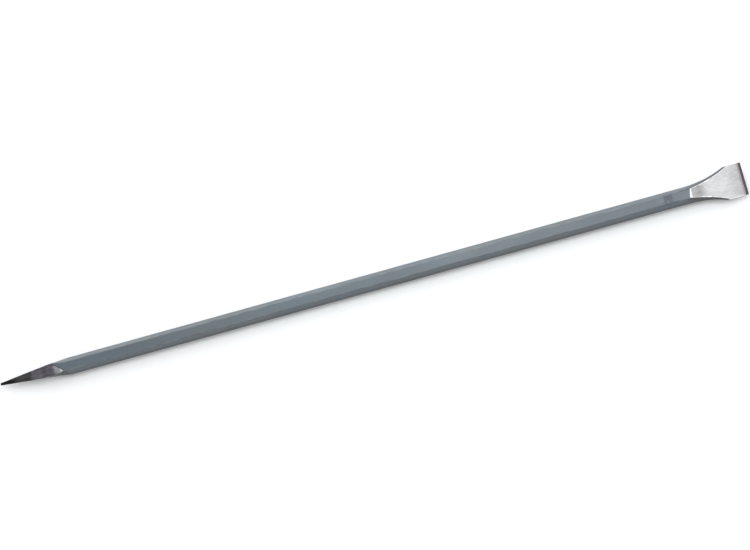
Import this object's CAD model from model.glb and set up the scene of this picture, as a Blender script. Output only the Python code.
"""Studio scene of a forged pry bar: hexagonal shank, ground point, flared chisel blade, grey coat.

The bar is made as a smith makes it. Plain hexagonal stock is forged to a taper or a flare, a wheel grinds
the point and the blade, and the coat is what is left on the surfaces that the wheel never touched.
"""

import logging
import math
from dataclasses import dataclass, field, replace
from enum import Enum, IntEnum
from typing import Iterable

import bmesh
import bpy
from mathutils import Matrix, Vector, noise
from mathutils.kdtree import KDTree


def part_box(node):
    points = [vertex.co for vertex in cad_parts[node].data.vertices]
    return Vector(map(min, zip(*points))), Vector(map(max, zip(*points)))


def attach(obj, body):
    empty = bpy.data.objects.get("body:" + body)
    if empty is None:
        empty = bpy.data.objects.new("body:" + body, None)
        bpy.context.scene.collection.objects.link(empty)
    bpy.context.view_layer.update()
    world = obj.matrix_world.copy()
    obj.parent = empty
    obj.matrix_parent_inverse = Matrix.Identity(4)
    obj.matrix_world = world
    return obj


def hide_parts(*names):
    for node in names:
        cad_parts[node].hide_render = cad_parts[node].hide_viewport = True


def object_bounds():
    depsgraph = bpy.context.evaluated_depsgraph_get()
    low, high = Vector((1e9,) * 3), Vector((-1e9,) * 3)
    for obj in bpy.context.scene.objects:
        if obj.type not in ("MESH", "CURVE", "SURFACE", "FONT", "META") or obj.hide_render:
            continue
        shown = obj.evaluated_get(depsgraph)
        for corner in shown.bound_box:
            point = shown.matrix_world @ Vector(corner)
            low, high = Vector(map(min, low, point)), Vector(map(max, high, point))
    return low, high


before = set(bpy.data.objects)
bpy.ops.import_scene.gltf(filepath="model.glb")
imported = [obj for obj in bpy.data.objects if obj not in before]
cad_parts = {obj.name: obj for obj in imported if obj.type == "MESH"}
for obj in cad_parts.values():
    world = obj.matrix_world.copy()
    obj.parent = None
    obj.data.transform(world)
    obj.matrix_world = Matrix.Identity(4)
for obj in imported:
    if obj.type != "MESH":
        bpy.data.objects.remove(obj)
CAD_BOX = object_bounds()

log = logging.getLogger("pry_bar")

MM = 0.001
SIDES = 6
X_AXIS = Vector((1.0, 0.0, 0.0))
CORNER_HALF_ANGLE = math.radians(30.0)
HEX_SIDE_RATIO = math.tan(CORNER_HALF_ANGLE)
SHARP_ANGLE = math.radians(28.0)
EDGE_ANGLE = math.radians(14.0)
SQUARE_ACROSS = 0.999
WELD = 0.002 * MM
QUARTER_TURN = math.pi / 2.0


class Surface(IntEnum):
    """Which tool left a face, kept as the face's material index."""

    FORGED = 0
    GROUND = 1


class End(Enum):
    """One of the bar's two ends, and which way along X the bar runs inwards from it."""

    POINT = 1.0
    BLADE = -1.0


@dataclass(frozen=True)
class Stock:
    """Rolled hexagonal bar that the whole tool is forged from, in metres.

    Attributes:
        across_flats: Bare steel, flat to flat.
        axis_height: Height of the bar's axis above the ground.
        coat: Thickness of the coat.
        corner_radius: Rolled radius of the six corners.
    """

    across_flats: float
    axis_height: float
    coat: float
    corner_radius: float = 1.5 * MM

    @property
    def half_flats(self) -> float:
        """Axis to a flat."""
        return self.across_flats / 2.0

    @property
    def half_corners(self) -> float:
        """Axis to a sharp corner."""
        return self.half_flats / math.cos(CORNER_HALF_ANGLE)

    @classmethod
    def from_frame(cls) -> "Stock":
        """Reads the stock's sizes from the shank and its coat.

        Returns:
            The stock.
        """
        low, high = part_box("shank")
        coat_low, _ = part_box("shank_coat")
        return cls(high.z - low.z, (high.z + low.z) / 2.0, low.z - coat_low.z)


@dataclass(frozen=True)
class WheelCut:
    """One ground face: flat from the end inwards, then lifting out on the wheel's own radius.

    Attributes:
        end: End of the bar that the face starts from.
        depth: Distance of the face from the axis at the end, in metres.
        slope: Angle of the face to the axis, in radians.
        flat_length: Length of the flat stretch, in metres.
        wheel_radius: Radius of the run-out, in metres.
        turn: Angle about the axis against the bar's flats, in radians.
        offset: Sideways distance of the face's own axis from the bar's, in metres.
        ripple: Height of the unevenness that a hand-held tool gets, in metres.
        overrun: How far the cutter starts outside the bar's end, in metres.
        reach: Width and height of the cutter, in metres.
        lift_arc: Angle of the run-out that the cutter carries, in radians.
        lift_steps: Segments of the run-out.
        flat_steps: Loops across the flat stretch.
        cross_steps: Loops along the face.
        ripple_length: Length of that unevenness, in metres.
    """

    end: End
    depth: float
    slope: float
    flat_length: float
    wheel_radius: float
    turn: float
    offset: float = 0.0
    ripple: float = 0.03 * MM
    overrun: float = 6.0 * MM
    reach: float = 90.0 * MM
    lift_arc: float = math.radians(30.0)
    lift_steps: int = 14
    flat_steps: int = 56
    cross_steps: int = 64
    ripple_length: float = 11.0 * MM

    def cutter(self, end_x: float, axis_height: float) -> bmesh.types.BMesh:
        """Makes the solid that the wheel takes away.

        Args:
            end_x: Place of the bar's end along X.
            axis_height: Height of the bar's axis.

        Returns:
            A closed bmesh, in the frame of the object.
        """
        bm = bmesh.new()
        rise = math.tan(self.slope)
        half = self.reach / 2.0
        start = bm.verts.new((-self.overrun, -half, self.depth - self.overrun * rise))
        lift = bm.verts.new((self.flat_length, -half, self.depth + self.flat_length * rise))
        centre = lift.co + Vector((-math.sin(self.slope), 0.0, math.cos(self.slope))) * self.wheel_radius
        flat = bm.edges.new((start, lift))
        bmesh.ops.subdivide_edges(bm, edges=[flat], cuts=self.flat_steps)
        lift = max(bm.verts, key=lambda vert: vert.co.x)
        bmesh.ops.spin(bm, geom=[lift], cent=centre, axis=(0.0, 1.0, 0.0), dvec=(0.0, 0.0, 0.0),
                       angle=-self.lift_arc, steps=self.lift_steps, use_merge=False, use_duplicate=False)
        edges = bm.edges[:]
        for _ in range(self.cross_steps):
            made = bmesh.ops.extrude_edge_only(bm, edges=edges)["geom"]
            verts = [g for g in made if isinstance(g, bmesh.types.BMVert)]
            edges = [g for g in made if isinstance(g, bmesh.types.BMEdge)
                     and all(v in set(verts) for v in g.verts)]
            bmesh.ops.translate(bm, verts=verts, vec=(0.0, self.reach / self.cross_steps, 0.0))
        for vert in bm.verts:
            vert.co.z += self.ripple * noise.noise(vert.co / self.ripple_length + X_AXIS * self.turn)
        made = bmesh.ops.extrude_face_region(bm, geom=bm.faces[:])["geom"]
        bmesh.ops.translate(bm, verts=[g for g in made if isinstance(g, bmesh.types.BMVert)],
                            vec=(0.0, 0.0, self.reach))
        place = (Matrix.Translation((end_x, self.offset, axis_height))
                 @ Matrix.Rotation(self.turn, 4, "X") @ Matrix.Diagonal((self.end.value, 1.0, 1.0, 1.0)))
        bmesh.ops.transform(bm, matrix=place, verts=bm.verts)
        bmesh.ops.recalc_face_normals(bm, faces=bm.faces[:])
        for face in bm.faces:
            face.material_index = Surface.GROUND
        return bm


@dataclass(frozen=True)
class FlatCut:
    """A plane that the wheel leaves, with everything beyond it gone.

    Attributes:
        point: A point on the plane.
        normal: Direction of what is gone.
    """

    point: Vector
    normal: Vector

    def apply(self, bm: bmesh.types.BMesh) -> None:
        """Cuts the mesh at the plane and closes it with a ground face.

        Args:
            bm: Closed mesh to cut.
        """
        geom = bm.verts[:] + bm.edges[:] + bm.faces[:]
        cut = bmesh.ops.bisect_plane(bm, geom=geom, dist=WELD, plane_co=self.point, plane_no=self.normal,
                                     clear_outer=True)["geom_cut"]
        edges = [g for g in cut if isinstance(g, bmesh.types.BMEdge) and g.is_boundary]
        bmesh.ops.edgeloop_fill(bm, edges=edges, mat_nr=Surface.GROUND)


def new_object(name: str, bm: bmesh.types.BMesh) -> bpy.types.Object:
    """Turns a bmesh into a linked object at the origin and frees it.

    Args:
        name: Name of the object and of its mesh.
        bm: Finished mesh.

    Returns:
        The new object.
    """
    mesh = bpy.data.meshes.new(name)
    bm.to_mesh(mesh)
    bm.free()
    piece = bpy.data.objects.new(name, mesh)
    bpy.context.scene.collection.objects.link(piece)
    return piece


def put_in_order(bm: bmesh.types.BMesh) -> None:
    """Sorts a mesh's elements by place, because a cut leaves them in an order that differs each run.

    Args:
        bm: Mesh to sort.
    """
    for number, vert in enumerate(sorted(bm.verts, key=lambda vert: tuple(vert.co))):
        vert.index = number
    bm.verts.sort()
    for parts in (bm.edges, bm.faces):
        in_order = sorted(parts, key=lambda part: sorted(vert.index for vert in part.verts))
        for number, part in enumerate(in_order):
            part.index = number
        parts.sort()
    bm.verts.index_update()


def subtract(bm: bmesh.types.BMesh, cutters: Iterable[bmesh.types.BMesh]) -> bmesh.types.BMesh:
    """Takes each closed cutter away from a closed mesh.

    Args:
        bm: Mesh to cut, freed here.
        cutters: Solids to take away, freed here.

    Returns:
        The mesh that is left.
    """
    body = new_object("uncut", bm)
    for kind in Surface:
        body.data.materials.append(bpy.data.materials.new(kind.name))
    for cutter_mesh in cutters:
        cutter = new_object("cutter", cutter_mesh)
        for material in body.data.materials:
            cutter.data.materials.append(material)
        cut = body.modifiers.new("cut", "BOOLEAN")
        cut.operation = "DIFFERENCE"
        cut.solver = "EXACT"
        cut.object = cutter
        bpy.context.view_layer.update()
        evaluated = body.evaluated_get(bpy.context.evaluated_depsgraph_get())
        result = bpy.data.meshes.new_from_object(evaluated)
        body.modifiers.clear()
        body.data = result
        bpy.data.objects.remove(cutter)
    left = bmesh.new()
    left.from_mesh(body.data)
    materials = list(body.data.materials)
    bpy.data.objects.remove(body)
    for material in materials:
        bpy.data.materials.remove(material)
    put_in_order(left)
    bmesh.ops.remove_doubles(left, verts=left.verts[:], dist=WELD)
    bmesh.ops.dissolve_degenerate(left, dist=WELD, edges=left.edges[:])
    return left


def shade(bm: bmesh.types.BMesh) -> None:
    """Smooths every face and keeps each edge sharp that turns by more than the sharp angle.

    Args:
        bm: Finished mesh.
    """
    for face in bm.faces:
        face.smooth = True
    for edge in bm.edges:
        edge.smooth = len(edge.link_faces) == 2 and edge.calc_face_angle(0.0) < SHARP_ANGLE


@dataclass
class Zone:
    """One stretch of the bar: its steel and the coat that stands on it.

    Attributes:
        stock: Bar that it is forged from.
        name: Name of the steel's CAD node. The coat's node adds "_coat".
        spacing: Distance between the cross loops of the mesh, in metres.
        flat_cuts: Loops added along each flat of the hexagon.
        corner_segments: Segments of each rolled corner.
        waviness: Height of the unevenness that forging leaves, in metres.
        wave_length: Length of that unevenness, in metres.
        wave_fade: Distance from the zone's ends over which it grows to its full height, in metres.
        rim_fade: How far the wear beside the coat's rim reaches, in metres.
        seam_fade: Distance from the zone's ends over which that wear grows to its full strength, in metres.
        low: Where the zone begins along X, in metres.
        high: Where it ends.
    """

    stock: Stock
    name: str = ""
    spacing: float = 2.5 * MM
    flat_cuts: int = 7
    corner_segments: int = 4
    waviness: float = 0.0
    wave_length: float = 24.0 * MM
    wave_fade: float = 30.0 * MM
    rim_fade: float = 6.0 * MM
    seam_fade: float = 8.0 * MM
    low: float = field(init=False)
    high: float = field(init=False)

    def __post_init__(self) -> None:
        """Reads where the zone begins and ends along X."""
        low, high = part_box(self.name)
        self.low = low.x
        self.high = high.x

    def stretch(self) -> tuple[float, float]:
        """Where the plain stock begins and ends, past the ends that are cut off later."""
        return self.low, self.high

    def section(self) -> bmesh.types.BMesh:
        """Makes the rolled hexagon across the bar, with a flat on top, at the zone's start.

        Returns:
            One face.
        """
        stock = self.stock
        bm = bmesh.new()
        start, _ = self.stretch()
        place = Matrix.Translation((start, 0.0, stock.axis_height))
        upright = place @ Matrix.Rotation(QUARTER_TURN, 4, "Y")
        bmesh.ops.create_circle(bm, cap_ends=True, segments=SIDES, radius=stock.half_corners, matrix=upright)
        reach = stock.corner_radius * math.tan(CORNER_HALF_ANGLE)
        bmesh.ops.bevel(bm, geom=bm.verts[:], offset=reach, offset_type="OFFSET", affect="VERTICES",
                        segments=self.corner_segments, profile=0.5, material=-1)
        flats = [e for e in bm.edges if e.calc_length() > stock.half_flats / 2.0]
        bmesh.ops.subdivide_edges(bm, edges=flats, cuts=self.flat_cuts)
        return bm

    def plain_bar(self) -> bmesh.types.BMesh:
        """Makes a stretch of plain stock, with cross loops at an even spacing.

        Returns:
            A closed mesh.
        """
        bm = self.section()
        start, end = self.stretch()
        steps = max(1, round((end - start) / self.spacing))
        cap = bm.faces[:]
        for step in range(steps):
            made = bmesh.ops.extrude_face_region(bm, geom=cap)["geom"]
            if step > 0:
                bmesh.ops.delete(bm, geom=cap, context="FACES_ONLY")
            cap = [g for g in made if isinstance(g, bmesh.types.BMFace)]
            verts = [g for g in made if isinstance(g, bmesh.types.BMVert)]
            bmesh.ops.translate(bm, verts=verts, vec=((end - start) / steps, 0.0, 0.0))
        bmesh.ops.recalc_face_normals(bm, faces=bm.faces[:])
        return bm

    def forge(self, bm: bmesh.types.BMesh) -> None:
        """Gives the plain stock the unevenness that rolling and hammering leave.

        Args:
            bm: Plain bar, moved in place.
        """
        for vert in bm.verts:
            height = self.waviness * self.inside(vert.co.x, self.wave_fade)
            swell = noise.noise(vert.co / self.wave_length)
            away = Vector((0.0, vert.co.y, vert.co.z - self.stock.axis_height)).normalized()
            vert.co += away * height * swell

    def wheel_cuts(self) -> list[bmesh.types.BMesh]:
        """Solids that are taken away from the forging."""
        return []

    def flat_cuts_made(self) -> list[FlatCut]:
        """Planes that finish the zone after the wheel."""
        return []

    def trim_coat(self, bm: bmesh.types.BMesh) -> None:
        """Takes more of the coat off than the wheel did. A plain zone keeps all of it."""

    def steel_mesh(self) -> bmesh.types.BMesh:
        """Makes the steel of the zone, with forged and ground faces told apart.

        Returns:
            A closed mesh.
        """
        bm = self.plain_bar()
        for face in bm.faces:
            sawn = abs(face.normal.x) > SQUARE_ACROSS
            face.material_index = Surface.GROUND if sawn else Surface.FORGED
        self.forge(bm)
        bm = subtract(bm, self.wheel_cuts())
        for cut in self.flat_cuts_made():
            cut.apply(bm)
        return bm

    def mark_edges(self, bm: bmesh.types.BMesh) -> None:
        """Stores how strongly the surface turns at each vertex, for wear, as the attribute "edge".

        Args:
            bm: Finished mesh of the steel or of the coat.
        """
        layer = bm.verts.layers.float.new("edge")
        for vert in bm.verts:
            turns = [edge.calc_face_angle(0.0) for edge in vert.link_edges if not self.at_seam(edge)]
            vert[layer] = min(1.0, max(turns, default=0.0) / EDGE_ANGLE)

    def at_seam(self, edge: bmesh.types.BMEdge) -> bool:
        """Whether an edge lies where this zone meets the next, or is the bar's own end."""
        ends = (self.low, self.high)
        return any(all(abs(vert.co.x - end) < WELD for vert in edge.verts) for end in ends)

    def inside(self, x: float, fade: float) -> float:
        """Grows from nothing at the zone's ends to one, where the fade's length is reached."""
        depth = min(abs(x - self.low), abs(self.high - x)) / fade
        return math.sin(min(1.0, depth) * QUARTER_TURN) ** 2

    def mark_rim(self, bm: bmesh.types.BMesh, rim: list[Vector]) -> None:
        """Stores how near each vertex is to the coat's rim, for wear, as the attribute "rim".

        Args:
            bm: The coat.
            rim: Points on its rim.
        """
        tree = KDTree(len(rim))
        for number, place in enumerate(rim):
            tree.insert(place, number)
        tree.balance()
        layer = bm.verts.layers.float.new("rim")
        for vert in bm.verts:
            near = math.exp(-tree.find(vert.co)[2] / self.rim_fade) if rim else 0.0
            vert[layer] = near * self.inside(vert.co.x, self.seam_fade)

    def coat_mesh(self, steel: bmesh.types.BMesh) -> bmesh.types.BMesh:
        """Makes the coat that stands on the forged faces.

        Args:
            steel: Finished steel of the zone, which stays as it is.

        Returns:
            A closed shell.
        """
        bm = steel.copy()
        ground = [f for f in bm.faces if f.material_index != Surface.FORGED]
        bmesh.ops.delete(bm, geom=ground, context="FACES")
        self.trim_coat(bm)
        open_edges = [edge for edge in bm.edges if edge.is_boundary and not self.at_seam(edge)]
        rim = [edge.verts[0].co.copy() for edge in open_edges]
        thicken(bm, self.stock.coat)
        self.mark_rim(bm, rim)
        return bm

    def build(self, steel_finish: "Finish", coat_finish: "Finish") -> list[bpy.types.Object]:
        """Makes and dresses the zone's two pieces.

        Args:
            steel_finish: Finish of the steel.
            coat_finish: Finish of the coat.

        Returns:
            The steel and its coat.
        """
        steel = self.steel_mesh()
        coat = self.coat_mesh(steel)
        pieces = []
        for mesh, suffix, finish in ((steel, "", steel_finish), (coat, "_coat", coat_finish)):
            self.mark_edges(mesh)
            shade(mesh)
            for face in mesh.faces:
                face.material_index = 0
            node = self.name + suffix
            piece = new_object("bar_" + node, mesh)
            piece.data.materials.append(bpy.data.materials.get(finish.name) or finish.material())
            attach(piece, "root")
            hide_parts(node)
            pieces.append(piece)
        return pieces


def thicken(bm: bmesh.types.BMesh, thickness: float) -> None:
    """Makes a closed shell of a skin, outwards along its own normals, so that no corner grows a spike.

    Args:
        bm: Skin, which becomes the shell's inside.
        thickness: Thickness of the shell, in metres.
    """
    bm.normal_update()
    outward = bm.verts.layers.float_vector.new("outward")
    for vert in bm.verts:
        vert[outward] = vert.normal
    made = bmesh.ops.extrude_face_region(bm, geom=bm.faces[:], use_keep_orig=True)["geom"]
    for vert in (part for part in made if isinstance(part, bmesh.types.BMVert)):
        vert.co += vert[outward] * thickness
    bmesh.ops.recalc_face_normals(bm, faces=bm.faces[:])
    bm.verts.layers.float_vector.remove(outward)


@dataclass
class ForgedEnd(Zone):
    """An end of the bar whose sides are forged away from the plain hexagon.

    Attributes:
        forged_length: Bar's end to where the forging leaves the straight bar, in metres.
        run: Length over which sides and middle reach their final values, in metres.
        end_ratio: Overhang over height of the sides at the end of the run.
        end_offset: Sideways shift of the section at the end of the run, in metres.
        overrun: How far the forging runs past the bar's own end, in metres.
    """

    end: End = End.BLADE
    forged_length: float = 0.0
    run: float = 0.0
    end_ratio: float = HEX_SIDE_RATIO
    end_offset: float = 0.0
    overrun: float = 6.0 * MM
    waviness: float = 0.12 * MM

    def stretch(self) -> tuple[float, float]:
        """Says where the plain stock begins and ends. It runs past the bar's own end.

        Returns:
            Both places along X.
        """
        if self.end is End.POINT:
            return self.low - self.overrun, self.high
        return self.low, self.high + self.overrun

    @property
    def end_x(self) -> float:
        """Place of the bar's own end along X."""
        return self.low if self.end is End.POINT else self.high

    def growth(self, along: float) -> float:
        """How much wider each side is, at a distance along the forging."""
        raise NotImplementedError

    def forge(self, bm: bmesh.types.BMesh) -> None:
        """Draws the sides of the plain bar in or out.

        Args:
            bm: Plain bar, moved in place.
        """
        corners = self.stock.half_corners
        for vert in bm.verts:
            inward = (vert.co.x - self.end_x) * self.end.value
            along = min(max(self.forged_length - inward, 0.0), self.run)
            share = math.sin(along / self.run * QUARTER_TURN)
            ratio = HEX_SIDE_RATIO + (self.end_ratio - HEX_SIDE_RATIO) * share ** 2
            height = abs(vert.co.z - self.stock.axis_height)
            before = corners - HEX_SIDE_RATIO * height
            after = corners + self.growth(along) - ratio * height
            vert.co.y = self.end_offset * share + vert.co.y * after / before
        super().forge(bm)


@dataclass
class PointZone(ForgedEnd):
    """Forged taper and ground four-sided point.

    Attributes:
        taper_slope: Angle of each forged side to the axis, in radians.
        tip_half_width: Half the square at the tip, before it is blunted, in metres.
        tip_blunting: Length of the blunt end, in metres.
        tip_land: Width of the square left at the very end, in metres.
        face_slope: Angle of each ground face to the axis, in radians.
        face_turn: Turn of the ground faces about the axis, in radians.
        face_length: Tip to where the wheel starts to lift out, in metres.
        face_loops: Cross loops on the flat stretch of each face.
        wheel_radius: Radius of the run-out, in metres.
        coat_end: Tip to where the coat stops, on the axis, in metres.
        coat_slant: Angle of that end of the coat to square across the bar, in radians.
    """

    name: str = "point"
    end: End = End.POINT
    forged_length: float = 143.0 * MM
    run: float = 39.0 * MM
    end_ratio: float = 0.08
    end_offset: float = 1.2 * MM
    taper_slope: float = math.radians(6.7)
    tip_half_width: float = 2.2 * MM
    tip_blunting: float = 1.4 * MM
    tip_land: float = 1.5 * MM
    face_slope: float = math.radians(5.9)
    face_turn: float = math.radians(8.0)
    face_length: float = 124.5 * MM
    face_loops: int = 90
    wheel_radius: float = 100.0 * MM
    coat_end: float = 106.0 * MM
    coat_slant: float = math.radians(25.0)
    rim_fade: float = 11.0 * MM
    seam_fade: float = 20.0 * MM

    def growth(self, along: float) -> float:
        """The sides close in at a constant slope."""
        return -along * math.tan(self.taper_slope)

    def wheel_cuts(self) -> list[bmesh.types.BMesh]:
        """Makes the wheel's cutters for the four faces of the point.

        Returns:
            Four closed meshes.
        """
        turns = [self.face_turn + QUARTER_TURN * quarter for quarter in range(4)]
        faces = [WheelCut(End.POINT, self.tip_half_width, self.face_slope, self.face_length,
                          self.wheel_radius, turn, self.end_offset, flat_steps=self.face_loops)
                 for turn in turns]
        return [face.cutter(self.end_x, self.stock.axis_height) for face in faces]

    def flat_cuts_made(self) -> list[FlatCut]:
        """Blunts the tip by four small bevels and the square that is left.

        Returns:
            The five planes.
        """
        end = Vector((self.end_x, self.end_offset, self.stock.axis_height))
        outer = self.tip_half_width + self.tip_blunting * math.tan(self.face_slope)
        lean = math.atan2(outer - self.tip_land / 2.0, self.tip_blunting)
        cuts = [FlatCut(end, -X_AXIS)]
        for quarter in range(4):
            turn = Matrix.Rotation(self.face_turn + QUARTER_TURN * quarter, 3, "X")
            place = end + turn @ Vector((0.0, 0.0, self.tip_land / 2.0))
            cuts.append(FlatCut(place, turn @ Vector((-math.sin(lean), 0.0, math.cos(lean)))))
        return cuts

    def trim_coat(self, bm: bmesh.types.BMesh) -> None:
        """Ends the coat short of the tip, at a slant.

        Args:
            bm: Skin of the coat.
        """
        place = Vector((self.end_x + self.coat_end, 0.0, 0.0))
        normal = Matrix.Rotation(-self.coat_slant, 3, "Z") @ -X_AXIS
        bmesh.ops.bisect_plane(bm, geom=bm.verts[:] + bm.edges[:] + bm.faces[:], dist=WELD, plane_co=place,
                               plane_no=normal, clear_outer=True)


@dataclass
class BladeZone(ForgedEnd):
    """Forged flare, two ground faces, ground sides and the cutting bevel.

    Attributes:
        flare_radius: Plan radius of both flared sides, in metres.
        width: Width between the ground sides, in metres.
        middle: Sideways place of their middle, in metres.
        face_slope: Angle of each ground face to the axis, in radians.
        face_turn: Turn of the ground faces about the axis, in radians.
        face_length: Cutting edge to where the wheel starts to lift out, in metres.
        wheel_radius: Radius of the run-out, in metres.
        bevel_length: Length of the cutting bevel, in metres.
        bevel_thickness: Thickness of the blade where the bevel starts, in metres.
        edge_land: Thickness left at the cutting edge, in metres.
    """

    name: str = "blade"
    end: End = End.BLADE
    forged_length: float = 114.0 * MM
    run: float = 120.0 * MM
    end_ratio: float = 0.70
    end_offset: float = 1.1 * MM
    flare_radius: float = 203.0 * MM
    width: float = 63.5 * MM
    middle: float = 2.3 * MM
    face_slope: float = math.radians(5.6)
    face_turn: float = math.radians(3.5)
    face_length: float = 68.0 * MM
    wheel_radius: float = 320.0 * MM
    bevel_length: float = 5.8 * MM
    bevel_thickness: float = 4.4 * MM
    edge_land: float = 0.8 * MM

    def growth(self, along: float) -> float:
        """Both sides swing out on one large radius."""
        return self.flare_radius - math.sqrt(self.flare_radius ** 2 - along ** 2)

    def wheel_cuts(self) -> list[bmesh.types.BMesh]:
        """Makes the wheel's cutters for the upper and the lower face of the blade.

        Returns:
            Two closed meshes.
        """
        depth = self.bevel_thickness / 2.0 - self.bevel_length * math.tan(self.face_slope)
        faces = [WheelCut(End.BLADE, depth, self.face_slope, self.face_length, self.wheel_radius, turn)
                 for turn in (self.face_turn, self.face_turn + math.pi)]
        return [face.cutter(self.end_x, self.stock.axis_height) for face in faces]

    def flat_cuts_made(self) -> list[FlatCut]:
        """Finishes the cutting edge's land, its two bevels and the two ground sides.

        Returns:
            The five planes.
        """
        end = Vector((self.end_x, 0.0, self.stock.axis_height))
        lean = math.atan2((self.bevel_thickness - self.edge_land) / 2.0, self.bevel_length)
        cuts = [FlatCut(end, X_AXIS)]
        for flip in (0.0, math.pi):
            turn = Matrix.Rotation(self.face_turn + flip, 3, "X")
            place = end + turn @ Vector((0.0, 0.0, self.edge_land / 2.0))
            cuts.append(FlatCut(place, turn @ Vector((math.sin(lean), 0.0, math.cos(lean)))))
        for side in (-1.0, 1.0):
            place = Vector((self.end_x, self.middle + side * self.width / 2.0, 0.0))
            cuts.append(FlatCut(place, Vector((0.0, side, 0.0))))
        return cuts


@dataclass
class ShankZone(Zone):
    """Plain hexagonal bar between the ends, with a plain punched mark near the blade.

    Attributes:
        mark_from_blade: End of the zone to the middle of the mark's hexagon, in metres.
        mark_aside: Sideways place of the mark, in metres.
        mark_radius: Middle to corner of the hexagon, in metres.
        mark_groove: Width of the punched lines, in metres.
        mark_depth: Depth of the punched lines, in metres.
        mark_bars: Number of short bars beside the hexagon.
        bar_length: Length of those bars, in metres.
        punch_height: Height of the punches, in metres.
    """

    name: str = "shank"
    spacing: float = 18.0 * MM
    waviness: float = 0.05 * MM
    wave_length: float = 130.0 * MM
    mark_from_blade: float = 25.5 * MM
    mark_aside: float = 1.8 * MM
    mark_radius: float = 4.8 * MM
    mark_groove: float = 1.3 * MM
    mark_depth: float = 0.5 * MM
    mark_bars: int = 2
    bar_length: float = 7.0 * MM
    punch_height: float = 2.0 * MM

    def wheel_cuts(self) -> list[bmesh.types.BMesh]:
        """Makes the mark's punches, a small hexagon and a few short bars beside it.

        Returns:
            Closed meshes.
        """
        top = self.stock.axis_height + self.stock.half_flats
        middle = Vector((self.high - self.mark_from_blade, self.mark_aside, top - self.mark_depth))
        punches = [self.hexagon_punch(middle)]
        for number in range(self.mark_bars):
            offset = self.mark_radius + self.mark_groove * 2.0 * (number + 1)
            punches.append(self.bar_punch(middle - X_AXIS * offset))
        return punches

    def hexagon_punch(self, middle: Vector) -> bmesh.types.BMesh:
        """Makes a hexagonal ring that stands on its cutting end.

        Args:
            middle: Middle of its cutting end.

        Returns:
            A closed mesh.
        """
        bm = bmesh.new()
        bmesh.ops.create_circle(bm, cap_ends=True, segments=SIDES, radius=self.mark_radius,
                                matrix=Matrix.Translation(middle))
        inner = bm.faces[:]
        bmesh.ops.inset_region(bm, faces=inner, thickness=self.mark_groove, use_even_offset=True,
                               use_boundary=True)
        bmesh.ops.delete(bm, geom=inner, context="FACES_ONLY")
        made = bmesh.ops.extrude_face_region(bm, geom=bm.faces[:])["geom"]
        bmesh.ops.translate(bm, verts=[g for g in made if isinstance(g, bmesh.types.BMVert)],
                            vec=(0.0, 0.0, self.punch_height))
        bmesh.ops.recalc_face_normals(bm, faces=bm.faces[:])
        return bm

    def bar_punch(self, middle: Vector) -> bmesh.types.BMesh:
        """Makes a short bar across the flat.

        Args:
            middle: Middle of its cutting end.

        Returns:
            A closed mesh.
        """
        bm = bmesh.new()
        size = Matrix.Diagonal((self.mark_groove, self.bar_length, self.punch_height, 1.0))
        lift = Vector((0.0, 0.0, self.punch_height / 2.0))
        bmesh.ops.create_cube(bm, size=1.0, matrix=Matrix.Translation(middle + lift) @ size)
        return bm


Colour = tuple[float, float, float]
Stops = tuple[tuple[float, Colour], ...]
Feed = bpy.types.NodeSocket | float | Colour


class Slot(Enum):
    """The record's material slots."""

    STEEL = "bare_steel"
    COAT = "grey_coat"


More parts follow.
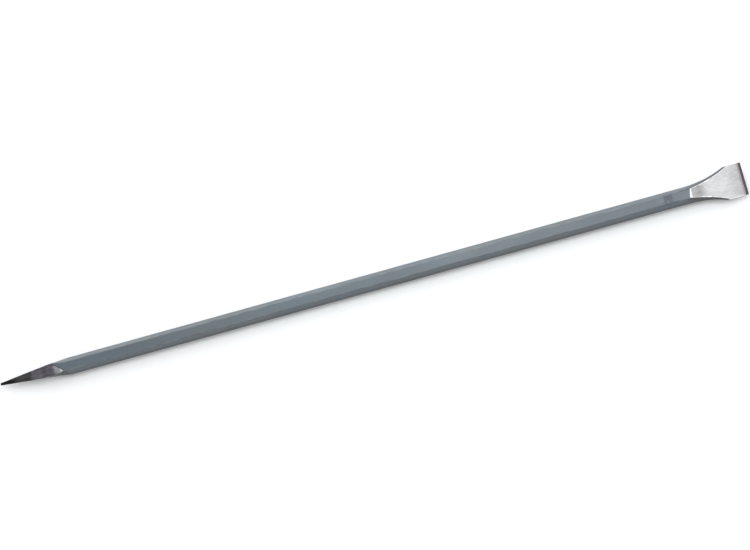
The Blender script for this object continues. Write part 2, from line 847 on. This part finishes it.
class Graph:
    """Lays out the shader nodes of one material."""

    def __init__(self, name: str) -> None:
        """Makes an empty material around one Principled shader.

        Args:
            name: Name of the material.
        """
        self.material = bpy.data.materials.new(name)
        self.material.use_nodes = True
        self.tree = self.material.node_tree
        self.shader = self.tree.nodes["Principled BSDF"]
        self.place = self.node("ShaderNodeTexCoord", {}).outputs["Object"]
        split = self.node("ShaderNodeSeparateXYZ", {0: self.place})
        self.x, self.y, self.z = split.outputs

    def feed(self, socket: bpy.types.NodeSocket, value: Feed) -> None:
        """Joins a socket to another one, or gives it a constant.

        Args:
            socket: Input to feed.
            value: Output of another node, a number or a colour.
        """
        if isinstance(value, bpy.types.NodeSocket):
            self.tree.links.new(value, socket)
        elif socket.type == "RGBA":
            socket.default_value = (*value, 1.0)
        else:
            socket.default_value = value

    def node(self, kind: str, feeds: dict[int | str, Feed], **settings: object) -> bpy.types.Node:
        """Adds a node.

        Args:
            kind: Blender's name for the node's type.
            feeds: What goes into its sockets, by index or name.
            **settings: Properties of the node.

        Returns:
            The new node.
        """
        node = self.tree.nodes.new(kind)
        for key, value in settings.items():
            setattr(node, key, value)
        for key, value in feeds.items():
            self.feed(node.inputs[key], value)
        return node

    def dress(self, **feeds: Feed) -> None:
        """Feeds the shader. Underscores in the names stand for spaces."""
        for key, value in feeds.items():
            self.feed(self.shader.inputs[key.replace("_", " ")], value)

    def grain(self, size: float, stretch: Colour = (1.0, 1.0, 1.0), detail: float = 2.0,
              shift: float = 0.0) -> bpy.types.NodeSocket:
        """Soft random pattern.

        Args:
            size: Size of one blotch, in metres.
            stretch: How many times longer the blotches are along X, Y and Z.
            detail: Finer layers on top.
            shift: Moves the pattern, so that two patterns differ.

        Returns:
            A value round 0.5.
        """
        scale = tuple(1.0 / times for times in stretch)
        mapped = self.node("ShaderNodeMapping",
                           {"Vector": self.place, "Location": (shift,) * 3, "Scale": scale})
        feeds = {"Vector": mapped.outputs[0], "Scale": 1.0 / size, "Detail": detail}
        return self.node("ShaderNodeTexNoise", feeds).outputs[0]

    def ramp(self, value: Feed, start: float, stop: float, low: Feed = 0.0,
             high: Feed = 1.0) -> bpy.types.NodeSocket:
        """Runs smoothly from low to high while the value goes from start to stop."""
        feeds = {"Value": value, "From Min": start, "From Max": stop, "To Min": low, "To Max": high}
        return self.node("ShaderNodeMapRange", feeds, interpolation_type="SMOOTHSTEP").outputs[0]

    def window(self, value: Feed, start: float, stop: float, soft: float) -> bpy.types.NodeSocket:
        """One between start and stop, nothing outside, with soft edges."""
        rise = self.ramp(value, start - soft, start + soft)
        return self.times(rise, self.ramp(value, stop - soft, stop + soft, 1.0, 0.0))

    def maths(self, operation: str, first: Feed, second: Feed) -> bpy.types.NodeSocket:
        """Joins two values by a Math node."""
        return self.node("ShaderNodeMath", {0: first, 1: second}, operation=operation).outputs[0]

    def times(self, first: Feed, second: Feed) -> bpy.types.NodeSocket:
        """Product of two values."""
        return self.maths("MULTIPLY", first, second)

    def plus(self, first: Feed, second: Feed) -> bpy.types.NodeSocket:
        """Sum of two values."""
        return self.maths("ADD", first, second)

    def blend(self, share: Feed, first: Feed, second: Feed) -> bpy.types.NodeSocket:
        """Mixes two colours."""
        node = self.node("ShaderNodeMix", {0: share, 6: first, 7: second}, data_type="RGBA")
        return node.outputs[2]

    def mark(self, name: str) -> bpy.types.NodeSocket:
        """Reads a value that the pieces' mesh carries."""
        return self.node("ShaderNodeAttribute", {}, attribute_name=name).outputs["Fac"]

    def bands(self, value: Feed, reach: float, stops: Stops) -> bpy.types.NodeSocket:
        """Colour that changes with a distance.

        Args:
            value: The distance, in metres.
            reach: Distance of the last stop, in metres.
            stops: Distances in metres, each with its colour.

        Returns:
            The colour.
        """
        share = self.maths("DIVIDE", value, reach)
        node = self.node("ShaderNodeValToRGB", {"Fac": share})
        elements = node.color_ramp.elements
        while len(elements) < len(stops):
            elements.new(1.0)
        for element, (place, colour) in zip(elements, stops):
            element.position = place / reach
            element.color = (*colour, 1.0)
        return node.outputs["Color"]

    def tint(self, colour: Feed, by: Feed) -> bpy.types.NodeSocket:
        """Multiplies two colours.

        Args:
            colour: First colour.
            by: Second colour.

        Returns:
            Their product.
        """
        node = self.node("ShaderNodeMix", {0: 1.0, 6: colour, 7: by}, data_type="RGBA",
                         blend_type="MULTIPLY")
        return node.outputs[2]

    def relief(self, layers: Iterable[tuple[bpy.types.NodeSocket, float]]) -> bpy.types.NodeSocket:
        """Stacks fine relief.

        Args:
            layers: Each pattern with its height in metres.

        Returns:
            The normal.
        """
        normal = None
        for pattern, height in layers:
            bump = self.node("ShaderNodeBump", {"Height": pattern, "Strength": 1.0, "Distance": height})
            if normal is not None:
                self.feed(bump.inputs["Normal"], normal)
            normal = bump.outputs[0]
        return normal


@dataclass(frozen=True)
class Blotches:
    """Soft random blotches in a finish.

    Attributes:
        size: Size of one blotch, in metres.
        span: Part of the noise over which the value changes.
        levels: Value below that part and value above it.
        stretch: How many times longer the blotches are along the bar.
        detail: Finer layers on top.
        shift: Moves the pattern, so that two patterns differ.
    """

    size: float
    span: tuple[float, float] = (0.3, 0.7)
    levels: tuple[float, float] = (0.0, 1.0)
    stretch: float = 1.0
    detail: float = 2.0
    shift: float = 0.0

    def noise(self, g: Graph) -> bpy.types.NodeSocket:
        """The bare pattern, round 0.5."""
        return g.grain(self.size, (self.stretch, 1.0, 1.0), self.detail, self.shift)

    def value(self, g: Graph) -> bpy.types.NodeSocket:
        """The pattern between its two levels."""
        return g.ramp(self.noise(g), *self.span, *self.levels)


@dataclass(frozen=True)
class Finish:
    """A finish of the bar.

    Attributes:
        name: Name of the material.
        place: The record's material slot.
    """

    name: str
    place: Slot

    @property
    def slot(self) -> str:
        """The slot's name in the record."""
        return self.place.value

    def material(self) -> bpy.types.Material:
        """Makes the material."""
        raise NotImplementedError


@dataclass(frozen=True)
class GroundSteel(Finish):
    """Steel off the wheel: fine scratches along the bar, soft patches, burnished edges, a tint by heat.

    Attributes:
        end_x: Place of the end that the tint starts from, in metres.
        inward: Plus one where the bar runs towards +X from that end, else minus one.
        heat: Distances from that end in metres, each with the colour that the steel is multiplied by.
        unevenness: How far the tint wanders, in metres.
        bright: Cleanest steel.
        dull: Steel in the soft patches.
        burnished: Steel along the edges.
        rubbed: Nearness to an edge at which the burnish starts and at which it is full.
        patches: Where the steel is dull.
        gloss: Roughness from place to place.
        wander: How the tint wanders.
        scratches: The wheel's finest scratches.
        streaks: Broader scratches, which change the brightness.
        swirl: Slow waves under the scratches.
        scratch_depth: Depth of the finest scratches, in metres.
        swirl_depth: Depth of the waves, in metres.
    """

    name: str = "ground steel"
    place: Slot = Slot.STEEL
    end_x: float = 0.0
    inward: float = 1.0
    heat: Stops = ((0.0, (1.0, 1.0, 1.0)), (1.0, (1.0, 1.0, 1.0)))
    unevenness: float = 8.0 * MM
    bright: Colour = (0.525, 0.52, 0.52)
    dull: Colour = (0.475, 0.47, 0.47)
    burnished: Colour = (0.93, 0.93, 0.92)
    rubbed: tuple[float, float] = (0.55, 0.95)
    patches: Blotches = Blotches(10.0 * MM, (0.35, 0.7), stretch=2.0, detail=4.0)
    gloss: Blotches = Blotches(10.0 * MM, levels=(0.28, 0.42), stretch=2.0, detail=4.0, shift=0.3)
    wander: Blotches = Blotches(14.0 * MM, stretch=2.0, detail=3.0, shift=0.2)
    scratches: Blotches = Blotches(0.45 * MM, stretch=45.0, detail=3.0)
    streaks: Blotches = Blotches(1.125 * MM, levels=(0.86, 1.06), stretch=45.0, shift=0.5)
    swirl: Blotches = Blotches(3.6 * MM, stretch=6.0, shift=0.7)
    scratch_depth: float = 0.006 * MM
    swirl_depth: float = 0.010 * MM

    def tone(self, g: Graph) -> bpy.types.NodeSocket:
        """Works out the colour of the steel.

        Args:
            g: Nodes of the material.

        Returns:
            The colour.
        """
        tone = g.blend(self.patches.value(g), self.bright, self.dull)
        tone = g.blend(g.ramp(g.mark("edge"), *self.rubbed), tone, self.burnished)
        wander = g.times(g.plus(self.wander.noise(g), -0.5), self.unevenness * 2.0)
        inwards = g.times(g.plus(g.x, -self.end_x), self.inward)
        reach = self.heat[-1][0]
        return g.tint(tone, g.bands(g.plus(inwards, wander), reach, self.heat))

    def material(self) -> bpy.types.Material:
        """Makes the material.

        Returns:
            The material.
        """
        g = Graph(self.name)
        relief = g.relief(((self.swirl.noise(g), self.swirl_depth),
                           (self.scratches.noise(g), self.scratch_depth)))
        feeds = {0: self.tone(g), 3: self.streaks.value(g)}
        shine = g.node("ShaderNodeVectorMath", feeds, operation="SCALE").outputs[0]
        g.dress(Base_Color=shine, Metallic=1.0, Roughness=self.gloss.value(g), Normal=relief)
        return g.material


def fired_point(end_x: float) -> GroundSteel:
    """Finish of a point that the hardening fire has left black at the tip and plum behind it.

    Args:
        end_x: Place of the tip along X.

    Returns:
        The finish.
    """
    heat = (
        (0.0, (0.06, 0.06, 0.06)),
        (20.0 * MM, (0.075, 0.075, 0.076)),
        (36.0 * MM, (0.16, 0.16, 0.162)),
        (62.0 * MM, (0.22, 0.22, 0.225)),
        (70.0 * MM, (0.42, 0.41, 0.455)),
        (111.0 * MM, (0.44, 0.42, 0.47)),
        (120.0 * MM, (1.25, 1.28, 1.32)),
        (129.0 * MM, (1.62, 1.65, 1.70)),
    )
    patch_size = 6.0 * MM
    return GroundSteel("fire-blackened steel", end_x=end_x, inward=End.POINT.value, heat=heat,
                       unevenness=5.0 * MM, bright=(0.60, 0.59, 0.60), dull=(0.40, 0.40, 0.40),
                       patches=replace(GroundSteel.patches, size=patch_size),
                       gloss=replace(GroundSteel.gloss, size=patch_size))


def hardened_blade(end_x: float) -> GroundSteel:
    """Finish of a blade whose cutting bevel is dark from hardening, with a brown breath of heat behind it.

    Args:
        end_x: Place of the cutting edge along X.

    Returns:
        The finish.
    """
    heat = (
        (0.0, (0.08, 0.066, 0.07)),
        (4.6 * MM, (0.125, 0.105, 0.114)),
        (6.8 * MM, (0.54, 0.51, 0.53)),
        (10.0 * MM, (0.82, 0.81, 0.82)),
        (24.0 * MM, (0.90, 0.90, 0.90)),
        (36.0 * MM, (1.0, 1.0, 1.0)),
        (75.0 * MM, (1.0, 1.0, 1.0)),
        (80.0 * MM, (0.86, 0.86, 0.86)),
        (88.0 * MM, (0.64, 0.64, 0.64)),
        (98.0 * MM, (0.74, 0.74, 0.745)),
        (104.0 * MM, (0.78, 0.78, 0.78)),
    )
    return GroundSteel("hardened blade steel", end_x=end_x, inward=End.BLADE.value, heat=heat,
                       unevenness=1.2 * MM, rubbed=(0.1, 0.6))


@dataclass(frozen=True)
class GreyCoat(Finish):
    """Satin grey coat with a slight peel, rubbed corners, and dirt where it was punched and forged.

    Attributes:
        top: Height of the upper flat, in metres.
        mark: Lowest and highest X of the punched mark, in metres.
        mark_side: Lowest and highest Y of the punched mark, in metres.
        mark_blur: Softness of the dirt's ends round the mark, in metres.
        side_blur: Softness of the dirt's sides in the punched lines, in metres.
        mark_face: Depths below the top between which the dirt round the mark starts, in metres.
        groove: Depths below the top between which the punched lines turn dark, in metres.
        crease: Lowest and highest X of the dirty forging crease, in metres.
        crease_side: Lowest and highest Y of that crease, in metres.
        crease_blur: Softness of the crease's ends, in metres.
        crease_side_blur: Softness of the crease's sides, in metres.
        flank: Depths below the top between which the sides start, in metres.
        grimy: Y where the grime of the side it is dragged on starts, and where it is thickest, in metres.
        grime: Share of dirt where that grime is thickest.
        sooty: Nearness to the rim at which the soot starts and is full, and its share of dirt.
        singed: The same for the sides.
        chipped: Nearness to the rim at which chips start and are as many as they get.
        cool: Coat in its cooler patches.
        warm: Coat in its warmer patches.
        worn: Rubbed coat.
        dirt: Dirt and soot.
        bruise: Coat beaten thin by the punch.
        chip: Bare metal in the chips.
        drift: Cool and warm patches.
        specks: Fine light specks.
        rubbing: How strongly the corners are rubbed.
        bruises: Where the coat is beaten thin.
        crumbs: How the dirt in the crease breaks up.
        flakes: Where chips can be.
        gloss: Roughness from place to place.
        peel: Peel of the coat.
        flow: Slow waves of the coat.
        peel_height: Height of the peel, in metres.
        flow_height: Height of the waves, in metres.
        index: Index of refraction.
    """

    name: str = "satin grey coat"
    place: Slot = Slot.COAT
    top: float = 0.0
    mark: tuple[float, float] = (0.0, 0.0)
    mark_side: tuple[float, float] = (-5.5 * MM, 7.5 * MM)
    mark_blur: float = 3.0 * MM
    side_blur: float = 0.5 * MM
    mark_face: tuple[float, float] = (2.0 * MM, 1.0 * MM)
    groove: tuple[float, float] = (0.12 * MM, 0.4 * MM)
    crease: tuple[float, float] = (0.0, 0.0)
    crease_side: tuple[float, float] = (7.4 * MM, 9.4 * MM)
    crease_blur: float = 2.0 * MM
    crease_side_blur: float = 0.6 * MM
    flank: tuple[float, float] = (0.6 * MM, 3.0 * MM)
    grimy: tuple[float, float] = (-11.5 * MM, -17.5 * MM)
    grime: float = 0.75
    sooty: tuple[float, float, float] = (0.7, 1.0, 0.9)
    singed: tuple[float, float, float] = (0.0, 0.6, 0.95)
    chipped: tuple[float, float] = (0.3, 0.7)
    cool: Colour = (0.062, 0.088, 0.112)
    warm: Colour = (0.070, 0.089, 0.098)
    worn: Colour = (0.17, 0.19, 0.20)
    dirt: Colour = (0.010, 0.011, 0.012)
    bruise: Colour = (0.020, 0.030, 0.055)
    chip: Colour = (0.62, 0.62, 0.61)
    drift: Blotches = Blotches(40.0 * MM, stretch=3.0, detail=4.0)
    specks: Blotches = Blotches(0.9 * MM, (0.66, 0.74), (0.0, 0.35), detail=1.0, shift=0.4)
    rubbing: Blotches = Blotches(5.0 * MM, (0.38, 0.62), (0.1, 0.65), stretch=4.0, detail=3.0, shift=0.6)
    bruises: Blotches = Blotches(5.0 * MM, (0.40, 0.58), (0.0, 0.9), detail=3.0, shift=0.8)
    crumbs: Blotches = Blotches(3.0 * MM, (0.36, 0.56), (0.25, 1.0), stretch=2.0, shift=0.15)
    flakes: Blotches = Blotches(1.8 * MM, (0.67, 0.70), stretch=1.8, detail=3.0, shift=0.33)
    gloss: Blotches = Blotches(25.0 * MM, levels=(0.34, 0.44), stretch=4.0, detail=4.0, shift=0.5)
    peel: Blotches = Blotches(1.1 * MM, detail=1.0, shift=0.9)
    flow: Blotches = Blotches(12.0 * MM, stretch=3.0, shift=0.1)
    peel_height: float = 0.012 * MM
    flow_height: float = 0.03 * MM
    index: float = 1.7

    def below(self, g: Graph, start: float, stop: float) -> bpy.types.NodeSocket:
        """Runs from nothing at the first depth below the top to one at the second."""
        return g.ramp(g.z, self.top - start, self.top - stop)

    def wear(self, g: Graph, tone: bpy.types.NodeSocket) -> bpy.types.NodeSocket:
        """Adds specks, rubbed corners, the rim's soot and the grime of one side.

        Args:
            g: Nodes of the material.
            tone: Colour of the clean coat.

        Returns:
            The colour.
        """
        tone = g.blend(self.specks.value(g), tone, self.worn)
        unpunched = g.maths("SUBTRACT", 1.0, g.window(g.x, *self.mark, self.mark_blur))
        tone = g.blend(g.times(g.mark("edge"), g.times(self.rubbing.value(g), unpunched)), tone, self.worn)
        start, full, share = self.sooty
        soot = g.ramp(g.mark("rim"), start, full, 0.0, share)
        start, full, share = self.singed
        singed = g.times(self.below(g, *self.flank), g.ramp(g.mark("rim"), start, full, 0.0, share))
        tone = g.blend(g.maths("MAXIMUM", soot, singed), tone, self.dirt)
        return g.blend(g.ramp(g.y, *self.grimy, 0.0, self.grime), tone, self.dirt)

    def stains(self, g: Graph, tone: bpy.types.NodeSocket) -> bpy.types.NodeSocket:
        """Adds the dirt in the punched mark and in the forging crease.

        Args:
            g: Nodes of the material.
            tone: Colour of the worn coat.

        Returns:
            The colour.
        """
        beside = g.times(g.window(g.x, *self.mark, self.mark_blur), self.below(g, *self.mark_face))
        tone = g.blend(g.times(beside, self.bruises.value(g)), tone, self.bruise)
        groove = g.times(g.window(g.y, *self.mark_side, self.side_blur), self.below(g, *self.groove))
        tone = g.blend(g.times(groove, beside), tone, self.dirt)
        line = g.times(g.window(g.x, *self.crease, self.crease_blur),
                       g.window(g.y, *self.crease_side, self.crease_side_blur))
        line = g.times(line, g.ramp(g.z, 0.0, self.top / 2.0))
        return g.blend(g.times(line, self.crumbs.value(g)), tone, self.dirt)

    def material(self) -> bpy.types.Material:
        """Makes the material.

        Returns:
            The material.
        """
        g = Graph(self.name)
        clean = g.blend(self.drift.value(g), self.cool, self.warm)
        tone = self.stains(g, self.wear(g, clean))
        chips = g.times(self.flakes.value(g), g.ramp(g.mark("rim"), *self.chipped))
        relief = g.relief(((self.flow.noise(g), self.flow_height), (self.peel.noise(g), self.peel_height)))
        g.dress(Base_Color=g.blend(chips, tone, self.chip), Metallic=chips, Roughness=self.gloss.value(g),
                IOR=self.index, Normal=relief)
        return g.material


@dataclass(frozen=True)
class Lamp:
    """A soft rectangular lamp.

    Attributes:
        name: Name of the lamp.
        place: Where it stands, in metres.
        target: What it points at.
        size: Width and height.
        power: Watts.
        colour: Tint of the light.
    """

    name: str
    place: Colour
    target: Colour
    size: tuple[float, float]
    power: float
    colour: Colour = (1.0, 1.0, 1.0)

    def build(self) -> bpy.types.Object:
        """Adds the lamp to the scene.

        Returns:
            The lamp's object.
        """
        lamp = bpy.data.lights.new(self.name, "AREA")
        lamp.shape = "RECTANGLE"
        lamp.size, lamp.size_y = self.size
        lamp.energy = self.power
        lamp.color = self.colour
        holder = bpy.data.objects.new(self.name, lamp)
        holder.location = self.place
        aim = Vector(self.target) - Vector(self.place)
        holder.rotation_euler = aim.to_track_quat("-Z", "Y").to_euler()
        bpy.context.scene.collection.objects.link(holder)
        return holder


@dataclass(frozen=True)
class Wall:
    """How the light tent's brightness changes from one side to the other.

    Attributes:
        towards: Direction in which it changes.
        span: Cosines to that direction between which it changes.
        levels: Brightness at those two cosines.
    """

    towards: Colour
    span: tuple[float, float]
    levels: tuple[float, float]

    def shade(self, tree: bpy.types.NodeTree, direction: bpy.types.NodeSocket) -> bpy.types.NodeSocket:
        """Adds the nodes that turn a direction into a brightness.

        Args:
            tree: Nodes of the world.
            direction: Direction that the tent is seen in.

        Returns:
            The brightness.
        """
        cosine = tree.nodes.new("ShaderNodeVectorMath")
        cosine.operation = "DOT_PRODUCT"
        cosine.inputs[1].default_value = Vector(self.towards).normalized()
        level = tree.nodes.new("ShaderNodeMapRange")
        level.interpolation_type = "SMOOTHSTEP"
        for name, value in zip(("From Min", "From Max", "To Min", "To Max"), self.span + self.levels):
            level.inputs[name].default_value = value
        tree.links.new(direction, cosine.inputs[0])
        tree.links.new(cosine.outputs["Value"], level.inputs["Value"])
        return level.outputs[0]


@dataclass
class Studio:
    """Pale floor, soft lamps and the camera.

    Attributes:
        target: What the camera points at, in metres.
        distance: Camera to target, in metres.
        elevation: Angle of the camera above the floor, in radians.
        azimuth: Side that it stands on, in radians.
        roll: Turn of the camera about its own axis, in radians.
        lens: Focal length, in millimetres.
        sensor: Width of the sensor, in millimetres.
        floor_size: Width of the floor, in metres.
        floor_colour: Colour of the floor.
        floor_roughness: Roughness of the floor.
        walls: The two ways in which the tent's brightness changes.
        lamps: Lamps.
    """

    target: Vector = field(default_factory=lambda: Vector((0.018917, 0.012581, 0.01515)))
    distance: float = 3.35
    elevation: float = math.radians(80.0)
    azimuth: float = math.radians(-22.296)
    roll: float = math.radians(-37.462)
    lens: float = 82.907
    sensor: float = 36.0
    floor_size: float = 12.0
    floor_colour: Colour = (0.93, 0.93, 0.93)
    floor_roughness: float = 0.9
    walls: tuple["Wall", ...] = (
        Wall((0.0, 1.0, 0.0), (-1.0, 1.0), (0.56, 1.85)),
        Wall((-0.27, -0.02, 0.96), (0.895, 0.975), (1.0, 0.04)),
    )
    lamps: tuple[Lamp, ...] = (
        Lamp("overhead lamp", (0.32, 0.36, 2.2), (0.32, 0.36, 0.0), (1.74, 0.9), 14.5, (0.86, 0.95, 1.0)),
    )

    def camera(self) -> bpy.types.Object:
        """Puts the camera above the bar, turned so that the bar runs across the frame.

        Returns:
            The camera.
        """
        away = Vector((-math.cos(self.elevation) * math.sin(self.azimuth),
                       -math.cos(self.elevation) * math.cos(self.azimuth), math.sin(self.elevation)))
        right = (-away).cross(Vector((0.0, 0.0, 1.0))).normalized()
        up = right.cross(-away)
        across = right * math.cos(self.roll) + up * math.sin(self.roll)
        upward = up * math.cos(self.roll) - right * math.sin(self.roll)
        lens = bpy.data.cameras.new("camera")
        lens.lens, lens.sensor_width = self.lens, self.sensor
        camera = bpy.data.objects.new("camera", lens)
        turn = Matrix((across, upward, away)).transposed().to_4x4()
        camera.matrix_world = Matrix.Translation(self.target + away * self.distance) @ turn
        bpy.context.scene.collection.objects.link(camera)
        bpy.context.scene.camera = camera
        return camera

    def floor(self, height: float) -> bpy.types.Object:
        """Lays the floor under the bar.

        Args:
            height: Height of the floor.

        Returns:
            The floor.
        """
        bm = bmesh.new()
        bmesh.ops.create_grid(bm, size=self.floor_size / 2.0, matrix=Matrix.Translation((0.0, 0.0, height)))
        floor = new_object("floor", bm)
        g = Graph("pale floor")
        g.dress(Base_Color=self.floor_colour, Roughness=self.floor_roughness)
        floor.data.materials.append(g.material)
        return floor

    def light_tent(self) -> bpy.types.World:
        """Makes a white tent, brighter behind the bar, with a dark gap overhead towards the point.

        Returns:
            The world.
        """
        world = bpy.data.worlds.new("light tent")
        world.use_nodes = True
        tree = world.node_tree
        direction = tree.nodes.new("ShaderNodeTexCoord").outputs["Generated"]
        product = tree.nodes.new("ShaderNodeMath")
        product.operation = "MULTIPLY"
        for wall, socket in zip(self.walls, product.inputs):
            tree.links.new(wall.shade(tree, direction), socket)
        tree.links.new(product.outputs[0], tree.nodes["Background"].inputs["Strength"])
        tree.nodes["Background"].inputs["Color"].default_value = (1.0, 1.0, 1.0, 1.0)
        return world

    def build(self, height: float) -> None:
        """Sets up the whole studio.

        Args:
            height: Height of the floor.
        """
        bpy.context.scene.world = self.light_tent()
        bpy.context.scene.view_settings.view_transform = "Standard"
        for lamp in self.lamps:
            lamp.build()
        self.floor(height)
        self.camera()


def main() -> None:
    """Builds the bar and its studio, and reports each piece."""
    logging.basicConfig(level=logging.INFO, format="%(name)s: %(message)s")
    stock = Stock.from_frame()
    low, high = CAD_BOX
    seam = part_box("shank")[1].x
    mark = (seam - 37.0 * MM, seam - 19.0 * MM)
    crease = (seam - 6.0 * MM, seam + 16.0 * MM)
    coat = GreyCoat(top=high[2], mark=mark, crease=crease)
    bar: dict[type[Zone], Finish] = {PointZone: fired_point(low[0]), ShankZone: GroundSteel(),
                                     BladeZone: hardened_blade(high[0])}
    for zone, finish in bar.items():
        for piece in zone(stock).build(finish, coat):
            log.info("%s: %d faces, %s", piece.name, len(piece.data.polygons), piece.data.materials[0].name)
    Studio().build(low[2])


if __name__ == "__main__":
    main()
